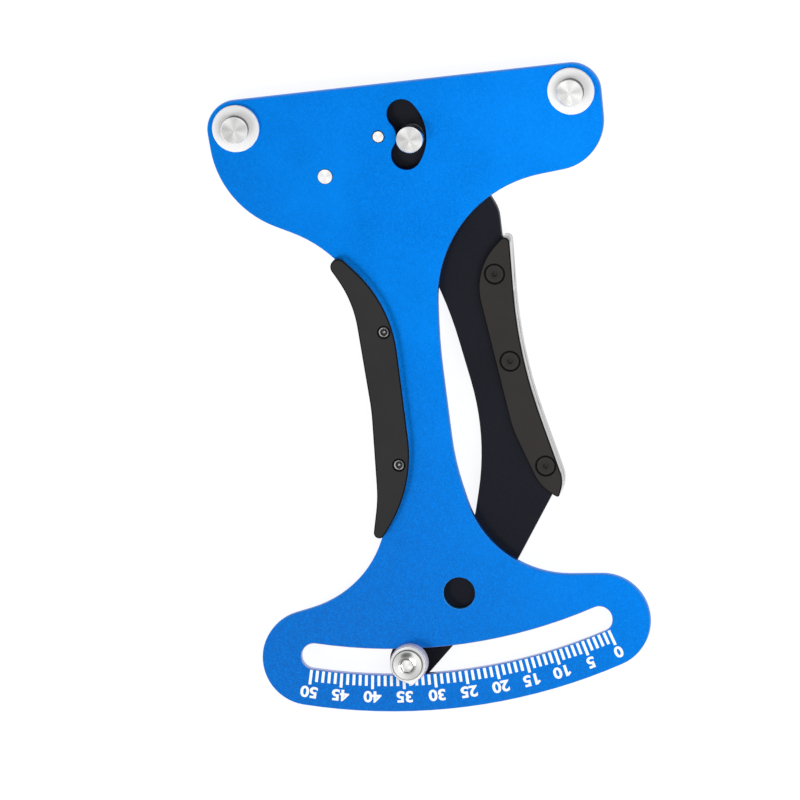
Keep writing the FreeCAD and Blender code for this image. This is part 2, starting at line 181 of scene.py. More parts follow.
def cut(piece, cutter, how="DIFFERENCE"):
    """Cuts a piece with another, which is used up."""
    finish_with(piece, "BOOLEAN", object=cutter, operation=how, solver="EXACT")
    pick(cutter)
    bpy.ops.object.delete()


def turned(name, centre, profile, steps=72):
    """Solid of a profile of (radius, height) spun about an upright axis."""
    radius, height = profile[0]
    start = (centre.x + radius * MM, centre.y, height * MM)
    piece = added(bpy.ops.mesh.primitive_plane_add, size=MM, location=start)
    piece.name = name
    open_mesh(piece)
    bpy.ops.mesh.merge(type="CENTER")
    for here, there in zip(profile, profile[1:]):
        step = ((there[0] - here[0]) * MM, 0.0, (there[1] - here[1]) * MM)
        bpy.ops.mesh.extrude_region_move(TRANSFORM_OT_translate={"value": step})
    bpy.ops.mesh.select_all(action="SELECT")
    bpy.ops.mesh.spin(steps=steps, angle=FULL_TURN, center=(centre.x, centre.y, 0.0), axis=(0.0, 0.0, 1.0))
    close_solid()
    return piece


def turned_ring(name, centre, inner, outer, z0, z1, edge=0.15, steps=72):
    """Washer or bush with broken corners."""
    profile = [(inner, z0 + edge), (inner + edge, z0), (outer - edge, z0), (outer, z0 + edge),
               (outer, z1 - edge), (outer - edge, z1), (inner + edge, z1), (inner, z1 - edge),
               (inner, z0 + edge)]
    piece = turned(name, centre, profile, steps)
    smooth_by(piece)
    return piece


def hex_bar(name, centre, across_flats, z0, z1, turn=0.0):
    """Upright hexagon bar, turned by some degrees."""
    bar = added(bpy.ops.mesh.primitive_cylinder_add, vertices=6, radius=across_flats / math.sqrt(3.0) * MM,
                depth=(z1 - z0) * MM, location=(centre.x, centre.y, (z0 + z1) / 2 * MM),
                rotation=(0.0, 0.0, math.radians(turn)))
    bar.name = name
    return bar


def hex_nut(name, centre, across_flats, thread, z0, z1):
    """Nut turned at its corners, with a countersunk thread."""
    nut = hex_bar(name, centre, across_flats, z0, z1)
    corner = across_flats / math.sqrt(3.0)
    land = across_flats / 2 * NUT_LAND
    slope = (corner - land) * math.tan(math.radians(30.0))
    barrel = turned("barrel", centre, [(0.0, z0), (land, z0), (corner, z0 + slope), (corner, z1 - slope),
                                       (land, z1), (0.0, z1)], 48)
    cut(nut, barrel, "INTERSECT")
    sink = thread * NUT_SINK
    wide = thread + sink + PAST
    drill = turned("drill", centre, [(0.0, z0 - PAST), (wide, z0 - PAST), (thread, z0 + sink),
                                     (thread, z1 - sink), (wide, z1 + PAST), (0.0, z1 + PAST)], 40)
    cut(nut, drill)
    smooth_by(nut)
    return nut


def joined(name, pieces):
    """One piece of several."""
    pick(*pieces)
    bpy.ops.object.join()
    pieces[0].name = name
    return pieces[0]


def copied_to(piece, places):
    """A piece, made at the first of its places, with copies at the others."""
    copies = [piece]
    for place in places[1:]:
        pick(piece)
        bpy.ops.object.duplicate()
        bpy.ops.transform.translate(value=place - places[0])
        copies.append(settle())
    return joined(piece.name, copies)


def from_node(name, node_name):
    """Clean copy of a CAD node: merged corners and whole flat faces."""
    pick(frame["nodes"][node_name])
    bpy.ops.object.duplicate()
    piece = bpy.context.object
    bpy.ops.object.parent_clear(type="CLEAR_KEEP_TRANSFORM")
    settle()
    piece.name = name
    piece.data.materials.clear()
    open_mesh(piece)
    bpy.ops.mesh.remove_doubles(threshold=WELD)
    bpy.ops.mesh.dissolve_limited(angle_limit=FLAT)
    close_mesh()
    return piece


def fit(piece, body, slot, *nodes):
    """The piece rides on a body and stands for its CAD nodes."""
    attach(piece, body)
    if nodes:
        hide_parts(*nodes)


def coat(piece, *materials):
    for material in materials:
        piece.data.materials.append(material)


def refinish(piece, slot, centre, chosen):
    """Another of the piece's finishes for faces chosen by normal, level and distance from a centre."""
    for polygon in piece.data.polygons:
        away = (polygon.center - centre).xy.length / MM
        if chosen(polygon.normal, polygon.center.z / MM, away):
            polygon.material_index = slot


# ---- node groups ----

def link_all(tree, made, values):
    """Connects or sets inputs, given by name or number."""
    for name, value in values.items():
        socket = made.inputs[name.replace("_", " ") if isinstance(name, str) else name]
        if isinstance(value, bpy.types.NodeSocket):
            tree.links.new(value, socket)
        else:
            socket.default_value = value
    return made


def node(tree, kind, settings=None, **values):
    """New shader node with its settings and inputs."""
    made = tree.nodes.new("ShaderNode" + kind)
    for setting, value in (settings or {}).items():
        setattr(made, setting, value)
    return link_all(tree, made, values)


def maths(tree, operation, *values):
    made = node(tree, "Math", {"operation": operation})
    return link_all(tree, made, dict(enumerate(values))).outputs[0]


def vector_maths(tree, operation, *values):
    made = node(tree, "VectorMath", {"operation": operation})
    return link_all(tree, made, dict(enumerate(values))).outputs


def varied(tree, value, mask, amount):
    """A value with an amount of a mask added."""
    return maths(tree, "ADD", value, maths(tree, "MULTIPLY", mask, amount))


def remap(tree, value, low, high, to_low=0.0, to_high=1.0):
    made = node(tree, "MapRange", Value=value, From_Min=low, From_Max=high, To_Min=to_low, To_Max=to_high)
    return made.outputs["Result"]


def new_group(name, inputs, outputs):
    """Node group with a vector input, some numbers and some value outputs."""
    group = bpy.data.node_groups.new(name, "ShaderNodeTree")
    group.interface.new_socket(name="Vector", in_out="INPUT", socket_type="NodeSocketVector")
    for label, value in inputs.items():
        socket = group.interface.new_socket(name=label, in_out="INPUT", socket_type="NodeSocketFloat")
        socket.default_value = value
    for label in outputs:
        group.interface.new_socket(name=label, in_out="OUTPUT", socket_type="NodeSocketFloat")
    return group, group.nodes.new("NodeGroupInput").outputs, group.nodes.new("NodeGroupOutput")


def blasted_grain():
    """Bead-blasted surface: pits of one size, bright specks and cloudy patches."""
    group, given, out = new_group(
        "blasted grain", {"Grain": 2200.0, "Patch": 35.0}, ["Height", "Speck", "Cloud"])
    vector = given["Vector"]
    pits = node(group, "TexNoise", Vector=vector, Scale=given["Grain"], Detail=2.0, Roughness=0.6)
    coarser = maths(group, "MULTIPLY", given["Grain"], 0.6)
    cells = node(group, "TexVoronoi", Vector=vector, Scale=coarser)
    cloud = node(group, "TexNoise", Vector=vector, Scale=given["Patch"], Detail=4.0, Roughness=0.55)
    dents = remap(group, cells.outputs["Distance"], 0.0, 0.7)
    link_all(group, out, {
        "Height": varied(group, pits.outputs["Fac"], dents, 0.5),
        "Speck": remap(group, pits.outputs["Fac"], 0.42, 0.7),
        "Cloud": remap(group, cloud.outputs["Fac"], 0.3, 0.7)})
    return group


def turning_marks():
    """Lathe rings, and painted fans of highlight and shade round the centre."""
    group, given, out = new_group(
        "lathe marks and painted fans", {"Pitch": 0.00022, "Fans": 4.0}, ["Rings", "Fans", "Wear"])
    vector = given["Vector"]
    flat = vector_maths(group, "MULTIPLY", vector, (1.0, 1.0, 0.0))["Vector"]
    radius = vector_maths(group, "LENGTH", flat)["Value"]
    angle = node(group, "TexGradient", {"gradient_type": "RADIAL"}, Vector=vector).outputs["Fac"]
    drift = node(group, "TexNoise", Vector=vector, Scale=180.0, Detail=2.0).outputs["Fac"]
    ring_turn = maths(group, "MULTIPLY", maths(group, "DIVIDE", radius, given["Pitch"]), FULL_TURN)
    uneven = node(group, "TexNoise", {"noise_dimensions": "1D"}, W=maths(group, "MULTIPLY", radius, 5000.0),
                  Scale=1.0, Detail=3.0).outputs["Fac"]
    fan_turn = maths(group, "MULTIPLY", maths(group, "MULTIPLY", angle, given["Fans"]), FULL_TURN)
    painted_fans = maths(group, "SINE", varied(group, fan_turn, drift, 1.2))
    link_all(group, out, {
        "Rings": varied(group, uneven, maths(group, "SINE", ring_turn), 0.5),
        "Fans": remap(group, painted_fans, -1.0, 1.0),
        "Wear": remap(group, drift, 0.35, 0.7)})
    return group


def handling():
    """Smudges from fingers."""
    group, given, out = new_group("handling", {"Size": 45.0}, ["Smudge"])
    smudge = node(group, "TexNoise", Vector=given["Vector"], Scale=given["Size"], Detail=5.0,
                  Roughness=0.6, Distortion=0.8)
    link_all(group, out, {"Smudge": remap(group, smudge.outputs["Fac"], 0.35, 0.75)})
    return group


def dye_drift():
    """Painted shade over a plate, where less light falls: 0 at its top right, 1 at its lower left."""
    group, given, out = new_group("painted light falloff", {"Start": -0.005, "End": 0.085}, ["Drift"])
    down_left = vector_maths(group, "DOT_PRODUCT", given["Vector"], (-0.82, -0.57, 0.0))["Value"]
    uneven = node(group, "TexNoise", Vector=given["Vector"], Scale=14.0, Detail=2.0).outputs["Fac"]
    spread = varied(group, down_left, uneven, 0.012)
    link_all(group, out, {"Drift": remap(group, spread, given["Start"], given["End"])})
    return group


GRAIN = blasted_grain()
PAINTED_FALLOFF = dye_drift()
LATHE_MARKS_AND_PAINTED_FANS = turning_marks()
HANDLING = handling()


# ---- materials ----

def grey(level):
    return (level,) * 3


def scaled(colour, factor, lift=0.0):
    return tuple(min(1.0, value * factor + lift) for value in colour)


def new_material(name, roughness, metallic):
    """Principled material and its tree; the two numbers are plain socket values."""
    material = bpy.data.materials.new(name)
    material.use_nodes = True
    tree = material.node_tree
    shader = next(item for item in tree.nodes if item.type == "BSDF_PRINCIPLED")
    shader.inputs["Roughness"].default_value = roughness
    shader.inputs["Metallic"].default_value = metallic
    return material, tree, shader


def place_vector(tree, centre=None):
    """Object coordinates, measured from a centre if one is given."""
    vector = tree.nodes.new("ShaderNodeTexCoord").outputs["Object"]
    if centre is None:
        return vector
    return node(tree, "Mapping", Vector=vector, Location=-centre).outputs["Vector"]


def use_group(tree, group, vector, **values):
    made = tree.nodes.new("ShaderNodeGroup")
    made.node_tree = group
    link_all(tree, made, {"Vector": vector, **values})
    return made.outputs


def mixed(tree, factor, first, second):
    """Colour between two colours."""
    ends = [(*value, 1.0) if isinstance(value, tuple) else value for value in (first, second)]
    made = node(tree, "Mix", {"data_type": "RGBA"})
    return link_all(tree, made, {0: factor, 6: ends[0], 7: ends[1]}).outputs[2]


def bumped(tree, shader, height, strength, distance):
    made = node(tree, "Bump", Height=height, Strength=strength, Distance=distance)
    tree.links.new(made.outputs["Normal"], shader.inputs["Normal"])


def anodised(name, dark, light, deep, metallic, roughness):
    """Blasted and dyed aluminium, with a painted shade that turns it slowly to the deep colour."""
    material, tree, shader = new_material(name, roughness, metallic)
    vector = place_vector(tree)
    grain = use_group(tree, GRAIN, vector)
    touched = use_group(tree, HANDLING, vector)
    # painted shade: the plate drawn darker towards its lower left, as if less light fell there
    drift = use_group(tree, PAINTED_FALLOFF, vector)["Drift"]
    body = mixed(tree, drift, mixed(tree, grain["Cloud"], dark, light), deep)
    specks = maths(tree, "MULTIPLY", grain["Speck"], 0.6)
    link_all(tree, shader, {
        "Base Color": mixed(tree, specks, body, scaled(light, 1.3, 0.001)),
        "Roughness": varied(tree, roughness, touched["Smudge"], -0.07)})
    bumped(tree, shader, grain["Height"], 0.5, 0.00003)
    return material


def bright_cut(name, colour, roughness):
    """Smooth cut made after blasting, on the edges of an anodised plate."""
    material, tree, shader = new_material(name, roughness, 1.0)
    smudge = use_group(tree, HANDLING, place_vector(tree), Size=110.0)["Smudge"]
    worn = maths(tree, "MULTIPLY", smudge, 0.35)
    link_all(tree, shader, {
        "Base Color": mixed(tree, worn, colour, scaled(colour, 1.5, 0.05)),
        "Roughness": varied(tree, roughness, smudge, 0.1)})
    return material


def turned_metal(name, centre, colour, roughness, painted_fans=0.25, rings=0.3, fan_count=4.0, anisotropy=0.2,
                 metallic=1.0):
    """Metal cut on a lathe about one centre, with painted fans of highlight and shade round it."""
    material, tree, shader = new_material(name, roughness, metallic)
    marks = use_group(tree, LATHE_MARKS_AND_PAINTED_FANS, place_vector(tree, centre), Fans=fan_count)
    tangent = node(tree, "Tangent", {"direction_type": "RADIAL", "axis": "Z"})
    # painted highlight and shade: base colour darker in some fans round the centre
    link_all(tree, shader, {
        "Base Color": mixed(tree, marks["Fans"], scaled(colour, 1.0 - painted_fans), colour),
        "Roughness": varied(tree, roughness - 0.05, marks["Wear"], 0.12),
        "Tangent": tangent.outputs["Tangent"]})
    shader.inputs["Anisotropic"].default_value = anisotropy
    bumped(tree, shader, marks["Rings"], rings, 0.000008)
    return material


def plated(name, colour, roughness):
    """Plated or blackened steel of fasteners and wire."""
    material, tree, shader = new_material(name, roughness, 1.0)
    vector = place_vector(tree)
    touched = use_group(tree, HANDLING, vector, Size=260.0)
    grain = use_group(tree, GRAIN, vector, Grain=3500.0, Patch=300.0)
    link_all(tree, shader, {
        "Base Color": mixed(tree, grain["Cloud"], scaled(colour, 0.72), colour),
        "Roughness": varied(tree, roughness, touched["Smudge"], 0.15)})
    bumped(tree, shader, grain["Height"], 0.25, 0.00001)
    return material


def moulded(name, dark, light, roughness, bump, specular, coat_weight=0.0):
    """Moulded plastic: fine leathery grain and polish from the hand."""
    material, tree, shader = new_material(name, roughness, 0.0)
    shader.inputs["Specular IOR Level"].default_value = specular
    shader.inputs["Coat Weight"].default_value = coat_weight
    shader.inputs["Coat Roughness"].default_value = 0.1
    vector = place_vector(tree)
    grain = use_group(tree, GRAIN, vector, Grain=1700.0, Patch=28.0)
    touched = use_group(tree, HANDLING, vector, Size=60.0)
    link_all(tree, shader, {
        "Base Color": mixed(tree, grain["Cloud"], dark, light),
        "Roughness": varied(tree, roughness, touched["Smudge"], -0.1)})
    bumped(tree, shader, grain["Height"], bump, 0.00004)
    return material


def printed_ink(name, colour):
    """Screen-printed ink: slightly uneven cover over the grain below."""
    material, tree, shader = new_material(name, 0.5, 0.0)
    grain = use_group(tree, GRAIN, place_vector(tree), Grain=2600.0, Patch=500.0)
    link_all(tree, shader, {"Base Color": mixed(tree, grain["Cloud"], scaled(colour, 0.95), colour)})
    bumped(tree, shader, grain["Height"], 0.3, 0.00002)
    return material


BLUE_DARK = (0.0016, 0.182, 0.68)
BLUE_LIGHT = (0.0022, 0.223, 0.80)
# colour of the painted shade at the plate's lower left
BLUE_PAINTED_SHADE = (0.0100, 0.155, 0.58)
BLUE_CUT = (0.03, 0.19, 0.62)
# pale colour of the scale slot's walls: painted sheen, the whitening seen at a glancing view
PAINTED_SHEEN_CUT = (0.26, 0.32, 0.62)
HOLE_CUT = (0.05, 0.33, 0.78)
BLACK_DARK = (0.0100, 0.0108, 0.0160)
BLACK_LIGHT = (0.0130, 0.0140, 0.0200)
STEEL = (0.74, 0.74, 0.73)
BUTTON = (0.90, 0.90, 0.89)
POLISHED = (0.96, 0.96, 0.95)
ALUMINIUM = grey(0.99)
RIVET = grey(0.93)

blue = anodised("blue blasted anodised", BLUE_DARK, BLUE_LIGHT, BLUE_PAINTED_SHADE, 1.0, 0.5)
blue_cut = bright_cut("blue bright cut", BLUE_CUT, 0.3)
sheen_painted_cut = bright_cut("bright cut with painted sheen", PAINTED_SHEEN_CUT, 0.3)
# near-black blue of the middle post's slot walls: painted shade
shade_painted_cut = bright_cut("bright cut painted dark as shade", (0.001, 0.03, 0.16), 0.5)
hole_cut = bright_cut("hole bright cut", HOLE_CUT, 0.35)
black = anodised("black blasted anodised", BLACK_DARK, BLACK_LIGHT, BLACK_DARK, 0.9, 0.55)
black_cut = bright_cut("black bright cut", (0.02, 0.021, 0.026), 0.35)
left_grip_skin = moulded("left grip skin", grey(0.0078), grey(0.0108), 0.62, 0.5, 0.35)
right_grip_skin = moulded("right grip skin", (0.0108, 0.0072, 0.0070), (0.0138, 0.0095, 0.0092), 0.62, 0.5,
                          0.35)
grip_wall = moulded("grip polished wall", grey(0.008), grey(0.011), 0.2, 0.12, 0.6, coat_weight=1.0)
# near-black matte finish painted on rounded edges and rivet rims as shade and outline
painted_shade_edge = moulded("edge painted dark as shade", grey(0.004), grey(0.006), 0.8, 0.2, 0.1)
zinc = plated("bright zinc", (0.62, 0.62, 0.63), 0.3)
spring_steel = plated("spring steel", (0.55, 0.55, 0.56), 0.25)
blackened = plated("blackened steel", (0.045, 0.045, 0.047), 0.38)
# brighter metal of the left grip screws' mouths: a painted glint
nickel_with_painted_glint = plated("nickel_with_painted_glint", grey(0.50), 0.25)
# dark side wall of the fixed posts: painted shade, standing in for the dark crescent of shadow
painted_shade_side = plated("post side painted dark as shade", (0.14, 0.14, 0.144), 0.3)
bright_side = plated("bright side", grey(0.88), 0.22)
# dark finish painted as shade: the pointer's edge, the head's rim and its socket's mouth
painted_shade_rim = moulded("steel painted dark as shade", grey(0.11), grey(0.15), 0.5, 0.2, 0.4)
# lilac painted on the aluminium washer: the blue plate's reflection and shade
lilac_painted_reflection = moulded("lilac painted as reflection and shade", (0.50, 0.47, 0.58), (0.56, 0.53, 0.64), 0.5, 0.2, 0.5)
bronze = plated("bearing bronze", (0.58, 0.38, 0.19), 0.4)
nylon = moulded("natural nylon", (0.58, 0.57, 0.55), (0.68, 0.67, 0.66), 0.45, 0.2, 0.5)
ink = printed_ink("white scale ink", (0.97, 1.0, 1.0))


# ---- plates ----

PLATE_CHAMFER = 0.2
GRIP_ROUNDING = 0.45
SEAM_SHARE = 0.3  # rounding at the seam, as a share of the rounding of the faces
SEAM_REACH = 4.0  # seam left sharp this near to its ends
HOOK_HOLE = on_plate(-4.0, -170.3)
HOLE_REACH = 7.0  # the hanging hole is nearer than this to its centre
SLOT_NEAR = 178.0  # the scale slot lies between these distances from the pivot
SLOT_FAR = 190.0
SLOT_SWING = 18.0  # and within this many degrees of straight down
KIDNEY_REACH = 18.0  # the middle post's slot is nearer than this to the pivot
RIVET_REACH = 6.0  # and farther than this from the spring's anchor


def blasted_plate(name, node_name, face, edge):
    """Flat plate with bright chamfers."""
    plate = from_node(name, node_name)
    coat(plate, face, edge)
    break_edges(plate, PLATE_CHAMFER, material=1)
    smooth_by(plate, 12.0)
    return plate


def polish_cutouts(plate):
    """Own finishes for the walls and chamfers of the scale slot, painted pale as sheen, the middle post's
    slot, painted dark as shade, and the hole.
    """
    coat(plate, sheen_painted_cut, shade_painted_cut, hole_cut)
    for polygon in plate.data.polygons:
        away = (polygon.center - PIVOT).xy.length / MM
        at_hole = (polygon.center - HOOK_HOLE).xy.length / MM < HOLE_REACH
        at_slot = SLOT_NEAR < away < SLOT_FAR and abs(angle_below_pivot(polygon.center)) < SLOT_SWING
        at_kidney = away < KIDNEY_REACH and (polygon.center - ANCHOR).xy.length / MM > RIVET_REACH
        if abs(polygon.normal.z) < 0.9 and (at_hole or at_slot or at_kidney):
            polygon.material_index = 3 if at_kidney else 4 if at_hole else 2


def angle_below_pivot(place):
    return math.degrees(math.atan2(place.x - PIVOT.x, PIVOT.y - place.y))


face_plate = blasted_plate("face_plate", "front_plate", blue, blue_cut)
polish_cutouts(face_plate)
fit(face_plate, "frame", "blue_anodised", "front_plate")
hand_lever = blasted_plate("hand_lever", "lever_plate", black, black_cut)
fit(hand_lever, "lever", "black_anodised", "lever_plate")


# ---- grips ----

SAME_LEVEL = 0.01  # levels closer than this are one


def corners_of(mesh):
    """Edges where two faces meet at a corner, each with the heights that its wall spans."""
    sides = {}
    for polygon in mesh.polygons:
        levels = [mesh.vertices[index].co.z / MM for index in polygon.vertices]
        for key in polygon.edge_keys:
            sides.setdefault(key, []).append((polygon.normal.copy(), min(levels), max(levels)))
    found = {}
    for key, (one, other) in sides.items():
        if one[0].angle(other[0]) > CORNER:
            found[key] = one if abs(one[0].z) < UPRIGHT else other
    return found


def lies_at(mesh, key, level):
    return all(abs(mesh.vertices[index].co.z / MM - level) < SAME_LEVEL for index in key)


def grip_corners(mesh, face, seam):
    """Corners of the outer face, and the outer corners of the seam away from its ends."""
    corners = corners_of(mesh)
    rims = {key for key in corners if lies_at(mesh, key, face)}
    at_seam = {key: wall for key, wall in corners.items() if lies_at(mesh, key, seam)}
    outer = {key for key, wall in at_seam.items()
             if min(abs(wall[1] - face), abs(wall[2] - face)) < SAME_LEVEL}
    inner = {index for key in at_seam if key not in outer for index in key}
    ends = [mesh.vertices[index].co for key in outer for index in key if index in inner]
    reach = SEAM_REACH * MM
    clear = {key for key in outer
             if all((mesh.vertices[index].co - end).length > reach for index in key for end in ends)}
    return rims, clear


def weigh(piece, keys, weight):
    """Gives some edges their share of the rounding."""
    open_mesh(piece)
    bpy.ops.mesh.select_mode(type="EDGE")
    bpy.ops.mesh.select_all(action="DESELECT")
    close_mesh()
    for edge in piece.data.edges:
        edge.select = edge.key in keys
    bpy.ops.object.mode_set(mode="EDIT")
    bpy.ops.transform.edge_bevelweight(value=weight)
    bpy.ops.mesh.select_mode(type="VERT")
    close_mesh()


def grip_half(name, node_name, skin, face, seam):
    """Half of a grip: grained faces, polished walls and rounded corners painted dark as shade."""
    half = from_node(name, node_name)
    coat(half, skin, grip_wall, painted_shade_edge)
    refinish(half, 1, PIVOT, lambda normal, level, away: abs(normal.z) < UPRIGHT)
    rims, seams = grip_corners(half.data, face, seam)
    weigh(half, rims, 1.0)
    weigh(half, seams, SEAM_SHARE)
    # the rounded corners take the dark edge finish: painted shade along the edges
    finish_with(half, "BEVEL", width=GRIP_ROUNDING * MM, segments=3, material=2, limit_method="WEIGHT",
                use_clamp_overlap=False, harden_normals=True)
    return half


for side, body, skin, carrier in (
        ("left", "frame", left_grip_skin, "front_plate"),
        ("right", "lever", right_grip_skin, "lever_plate")):
    seam = sum(heights(carrier)) / 2
    for half, outer in (("front", 1), ("rear", 0)):
        node_name = f"{side}_grip_{half}"
        shell = grip_half(f"{node_name}_half", node_name, skin, heights(node_name)[outer], seam)
        fit(shell, body, "grip", node_name)


# ---- posts ----

POST_R = 4.7
MIDDLE_POST_R = 4.6
NECK_R = 4.2
NECK_TOP = PLATE_FACE + 0.2
SHANK_R = 3.0
THREAD_R = 2.0
THREAD_CONE = 0.6  # drilled end of a thread
POST_EDGE = 0.35
FIXED_THREAD = POST_TOP - 2.2  # where the threads end
LEVER_THREAD = LEVER_FACE + 3.4
FLANGE_R = 8.15
FLANGE_EDGE = 0.25


def post(words, centre, radius, lower, thread_top, side):
    """Turned post: threaded bore, shank, stub with a broken edge and a finish of its own on its side."""
    bore = [(0.0, thread_top + THREAD_CONE), (THREAD_R, thread_top)]
    rim = [(radius, POST_TOP - POST_EDGE), (radius - POST_EDGE, POST_TOP)]
    piece = turned(words.replace(" ", "_"), centre, bore + lower + rim + [(0.0, POST_TOP)])
    smooth_by(piece)
    # painted fans of highlight and shade on the post's top
    coat(piece, turned_metal(words, centre, POLISHED, 0.32, painted_fans=0.2, fan_count=5.0, anisotropy=0.35,
                             metallic=0.6), side)
    refinish(piece, 1, centre, lambda normal, level, away: abs(normal.z) < UPRIGHT and level > PLATE_FACE)
    return piece


def finish_rim(piece, centre, beyond, above):
    """Second finish for the faces beyond a radius and above a level."""
    refinish(piece, 1, centre, lambda normal, level, away: away > beyond and level > above)


FIXED_POSTS = (("left", LEFT_POST), ("right", RIGHT_POST))
fixed_lower = [(THREAD_R, PLATE_BACK), (SHANK_R, PLATE_BACK), (SHANK_R, FLANGE_TOP), (POST_R, FLANGE_TOP)]
middle_lower = [(THREAD_R, LEVER_BACK), (SHANK_R, LEVER_BACK), (SHANK_R, LEVER_FACE), (NECK_R, LEVER_FACE),
                (NECK_R, NECK_TOP), (MIDDLE_POST_R, NECK_TOP)]
for side, centre in FIXED_POSTS:
    # the fixed posts' sides take the painted shade
    stub = post(f"post at {side}", centre, POST_R, fixed_lower, FIXED_THREAD, painted_shade_side)
    fit(stub, "frame", "bright_steel", f"{side}_post")
stub = post("post on lever", MIDDLE_POST, MIDDLE_POST_R, middle_lower, LEVER_THREAD, bright_side)
fit(stub, "lever", "bright_steel", "middle_post")
for side, centre in FIXED_POSTS:
    flange = turned_ring(
        f"flange_at_{side}", centre, SHANK_R, FLANGE_R, PLATE_FACE, FLANGE_TOP, FLANGE_EDGE, 96)
    # painted shade: a single fan draws the flange darker on one side
    coat(flange, turned_metal(f"flange at {side}", centre, ALUMINIUM, 0.55, painted_fans=0.17, rings=0.15,
                              fan_count=1.0, metallic=0.05))
    fit(flange, "frame", "satin_aluminium", f"{side}_post_flange")


# ---- screws behind the posts ----

def pan_screw(name, centre, seat, tip):
    """Low round head from behind, with a hexagon socket."""
    head_r, head_h, crown, point, key, socket = 3.6, 2.4, 0.8, 0.4, 2.5, 1.4
    back = seat - head_h
    curve = [(head_r - crown + crown * math.sin(turn), back + crown - crown * math.cos(turn))
             for turn in (0.0, math.radians(30), math.radians(60), math.radians(90))]
    profile = [(0.0, back)] + curve + [(head_r, seat), (THREAD_R, seat), (THREAD_R, tip - point),
                                       (THREAD_R - point, tip), (0.0, tip)]
    screw = turned(name, centre, profile, 48)
    cut(screw, hex_bar("key", centre, key, back - PAST, back + socket))
    smooth_by(screw, 35.0)
    return screw


fixed_screws = pan_screw("screws_behind_posts", LEFT_POST, PLATE_BACK, FIXED_THREAD)
fixed_screws = copied_to(fixed_screws, [LEFT_POST, RIGHT_POST])
coat(fixed_screws, zinc)
fit(fixed_screws, "frame", "bright_steel", "fixed_post_screws")
lever_screw = pan_screw("screw_behind_lever", MIDDLE_POST, LEVER_BACK, LEVER_THREAD)
coat(lever_screw, zinc)
fit(lever_screw, "lever", "bright_steel", "middle_post_screw")


# ---- pivot ----

PIN_R = 3.0
PIN_EDGE = 0.3
SPACER_R = 5.8
BUSH_R = 4.5
BACK_WASHER_R = 6.0
RUNNING = 0.05  # clearance round the pivot pin
RIVET_R = 2.05
SPREAD_R = 2.65  # spread end of the spring's anchor, on the face
RIVET_EDGE = 0.16  # chamfer of both rivets
PIN_END, RIVET_TOP = heights("pivot_pin")
CLIP_BACK, CLIP_FRONT = heights("pivot_clip")
GROOVE_R = 2.35


def rivet_metal(name, centre):
    return turned_metal(name, centre, RIVET, 0.55, painted_fans=0.14, fan_count=3.0, metallic=0.6)


pin = turned("pivot_stud", PIVOT, [
    (0.0, PIN_END), (PIN_R - PIN_EDGE, PIN_END), (PIN_R, PIN_END + PIN_EDGE), (PIN_R, CLIP_BACK),
    (GROOVE_R, CLIP_BACK), (GROOVE_R, CLIP_FRONT), (PIN_R, CLIP_FRONT), (PIN_R, PLATE_BACK),
    (RIVET_R, PLATE_BACK), (RIVET_R, PLATE_FACE), (RIVET_R, RIVET_TOP - RIVET_EDGE),
    (RIVET_R - RIVET_EDGE, RIVET_TOP), (0.0, RIVET_TOP)])
smooth_by(pin)
coat(pin, rivet_metal("pivot stud", PIVOT), painted_shade_edge)
# the rivet's rim painted dark: a painted shadow outline
finish_rim(pin, PIVOT, RIVET_R - RIVET_EDGE, PLATE_FACE)
fit(pin, "frame", "bright_steel", "pivot_pin")

spacer = turned_ring("pivot_distance_ring", PIVOT, PIN_R + RUNNING, SPACER_R, LEVER_FACE, PLATE_BACK, 0.1)
coat(spacer, nylon)
fit(spacer, "frame", "nylon", "pivot_spacer")
bush = turned_ring("pivot_bearing", PIVOT, PIN_R + RUNNING, BUSH_R, LEVER_BACK, LEVER_FACE, 0.2)
coat(bush, bronze)
fit(bush, "lever", "bronze", "pivot_bush")
rear_washer = turned_ring(
    "pivot_back_washer", PIVOT, PIN_R + RUNNING, BACK_WASHER_R, CLIP_FRONT, LEVER_BACK, 0.12)
coat(rear_washer, turned_metal("back washer", PIVOT, (0.62, 0.62, 0.63), 0.35, painted_fans=0.1))
fit(rear_washer, "frame", "bright_steel", "pivot_rear_washer")


def e_clip():
    """Clip pushed into the pin's groove, with a mouth and two reliefs."""
    outer, mouth, tall, relief_r, relief_at = 4.8, 3.4, 4.0, 1.15, 2.9
    clip = turned_ring("pivot_e_clip", PIVOT, GROOVE_R, outer, CLIP_BACK, CLIP_FRONT, 0.08)
    low, high = CLIP_BACK - PAST, CLIP_FRONT + PAST
    for degrees in (18.0, 162.0):
        turn = math.radians(degrees)
        place = PIVOT + Vector((math.cos(turn), math.sin(turn), 0.0)) * (relief_at * MM)
        cut(clip, turned("relief", place, [(0.0, low), (relief_r, low), (relief_r, high), (0.0, high)], 32))
    cut(clip, added(bpy.ops.mesh.primitive_cube_add, size=MM, scale=(mouth, outer * 2, tall),
                    location=(PIVOT.x, PIVOT.y - outer * MM, (CLIP_BACK + CLIP_FRONT) / 2 * MM)))
    break_edges(clip, 0.06, 2)
    return clip


clip = e_clip()
coat(clip, blackened)
fit(clip, "frame", "bright_steel", "pivot_clip")


# ---- return spring and its pins ----

SPRING_Z = 2.8
WIRE_R = 0.45
COIL_R = 2.2
LOOP_R = 2.0
LOOP_STEP = 35.0  # degrees between two points of an end loop
EAR_GAP = 5.2  # from a pin to the first turn
ANCHOR_GAP = 3.4
COILS = 12
PER_TURN = 10

HOOK_NECK_R = 1.5  # the wire's loop lies round it, between the head and the plate
HOOK_HEAD = [(0.0, 0.7), (2.1, 0.7), (2.4, 1.0), (2.4, 1.8), (2.1, 2.1), (HOOK_NECK_R, 2.1)]
COLLAR_R = 2.4
COLLAR_BACK = 3.5
EAR_R = 1.9
EAR_EDGE = 0.15

